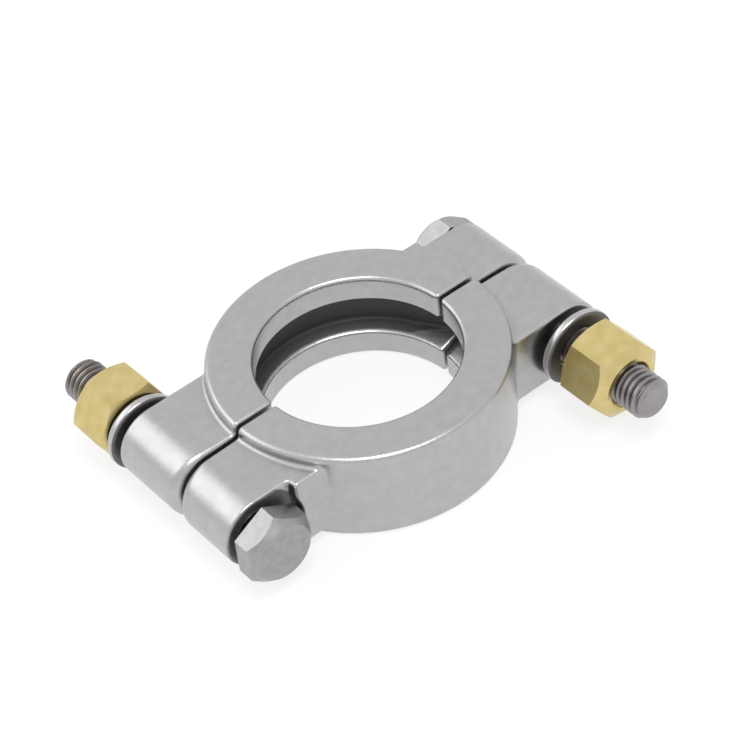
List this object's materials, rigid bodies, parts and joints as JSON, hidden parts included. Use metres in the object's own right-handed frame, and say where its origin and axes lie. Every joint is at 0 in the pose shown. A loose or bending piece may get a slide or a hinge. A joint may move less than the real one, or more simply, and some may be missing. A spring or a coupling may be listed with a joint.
{
  "type": "bolted sanitary clamp",
  "caption": "Two-piece bolted clamp for sanitary ferrules: cast half rings with ears, hexagon bolts, loose spring washers and long brass nuts around an inner flange groove.",
  "frame": {"origin": "on the ring's axis, in the plane of the ring's lower face", "axes": "+Z along the ring's axis; X through both bolts' axes; +Y towards the rear half, along the left bolt from its head to its tip"},
  "size_m": [0.1015, 0.0932, 0.0222],
  "materials": {
    "cast_stainless": "satin, tumbled investment casting",
    "bolt_steel": "satin stainless, dull in the thread",
    "washer_steel": "bright satin stainless",
    "nut_brass": "turned and milled brass, satin"
  },
  "bodies": {
    "front": {"front_half": "cast_stainless", "left_bolt": "bolt_steel", "right_spring_washer": "washer_steel"},
    "rear": {"rear_half": "cast_stainless", "right_bolt": "bolt_steel", "left_spring_washer": "washer_steel"},
    "left_nut": {"left_nut": "nut_brass"},
    "right_nut": {"right_nut": "nut_brass"}
  },
  "joints": [
    {"name": "rear_half_slide", "type": "slide", "parent": "front", "child": "rear", "axis": [0, 1, 0], "range_m": [-0.0008, 0.014]},
    {"name": "left_nut_turn", "type": "hinge", "parent": "rear", "child": "left_nut", "pos_m": [-0.041, 0.0316, 0.0107], "axis": [0, 1, 0], "range_deg": [-193, 3361]},
    {"name": "right_nut_turn", "type": "hinge", "parent": "front", "child": "right_nut", "pos_m": [0.041, -0.033, 0.0107], "axis": [0, -1, 0], "range_deg": [-193, 3361]}
  ],
  "couplings": [
    {"joint": "left_nut_turn", "follows": "rear_half_slide", "rad_per_m": 4188.8},
    {"joint": "right_nut_turn", "follows": "rear_half_slide", "rad_per_m": 4188.8}
  ]
}
